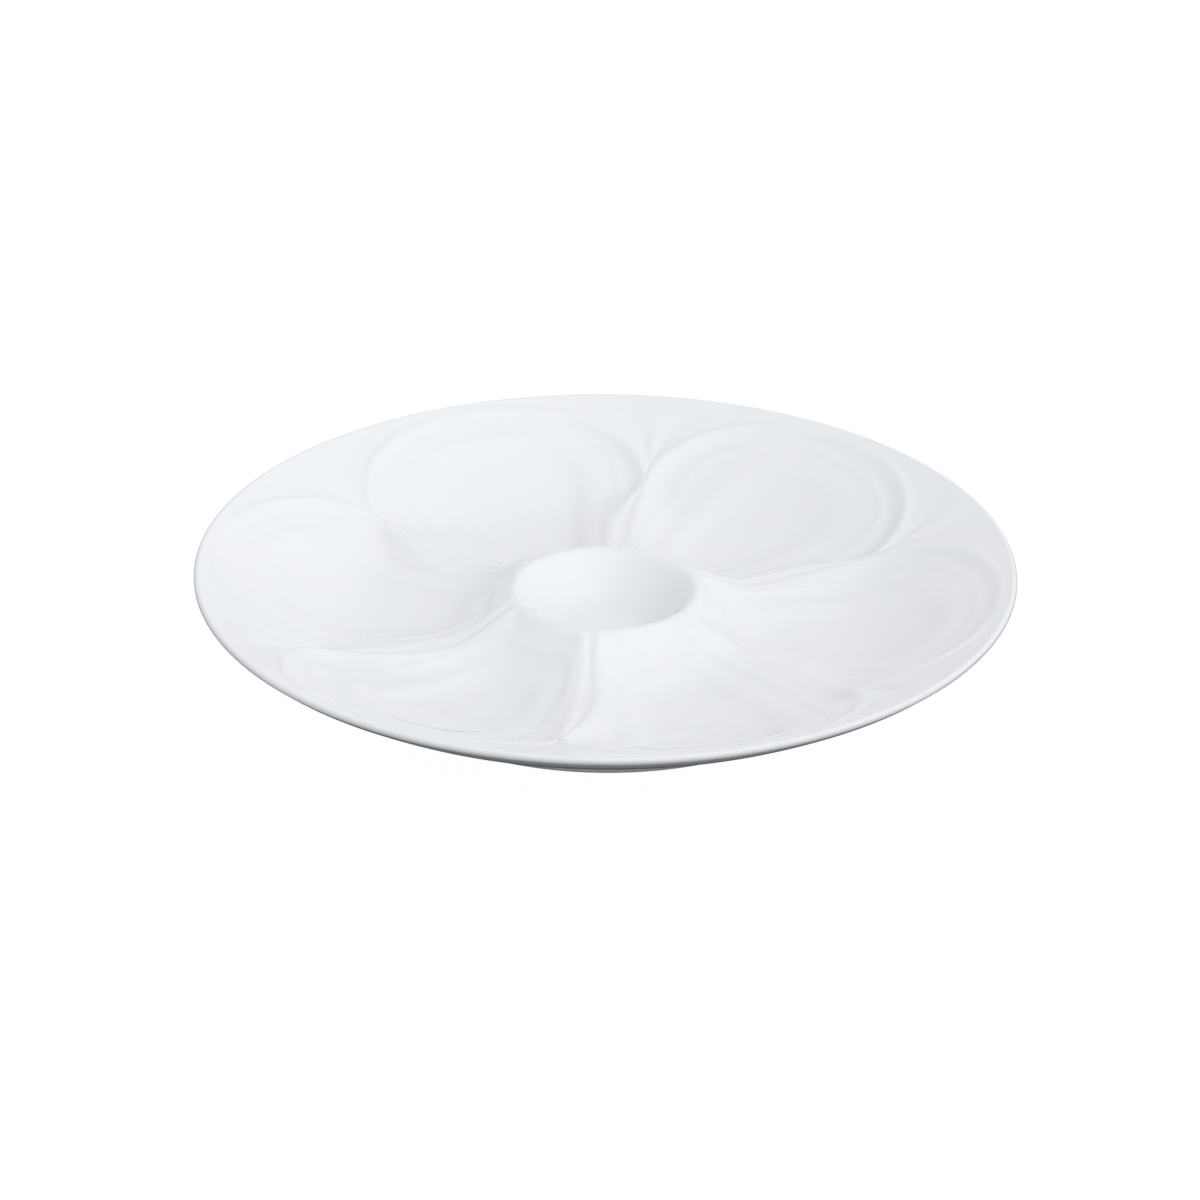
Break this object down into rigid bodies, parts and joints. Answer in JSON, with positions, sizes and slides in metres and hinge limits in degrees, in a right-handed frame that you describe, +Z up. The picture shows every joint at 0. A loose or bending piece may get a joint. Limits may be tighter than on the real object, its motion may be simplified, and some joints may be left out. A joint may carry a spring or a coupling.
{
  "type": "oyster plate",
  "caption": "Round porcelain oyster plate with shell-shaped wells round a raised sauce cup, standing on a ring foot.",
  "frame": {"origin": "centre of the ring foot's bearing plane, on the plate's axis", "axes": "+Z up along the plate's axis; +X through the middle of the first oyster well; +Y runs out over the land between two wells"},
  "size_m": [0.25, 0.25, 0.0315],
  "materials": {
    "glazed_porcelain": "clear glossy glaze over white porcelain",
    "foot_porcelain": "glazed walls, bare fine-ground bearing edge"
  },
  "bodies": {
    "root": {"plate_body": "glazed_porcelain", "foot_ring": "foot_porcelain"}
  },
  "joints": []
}
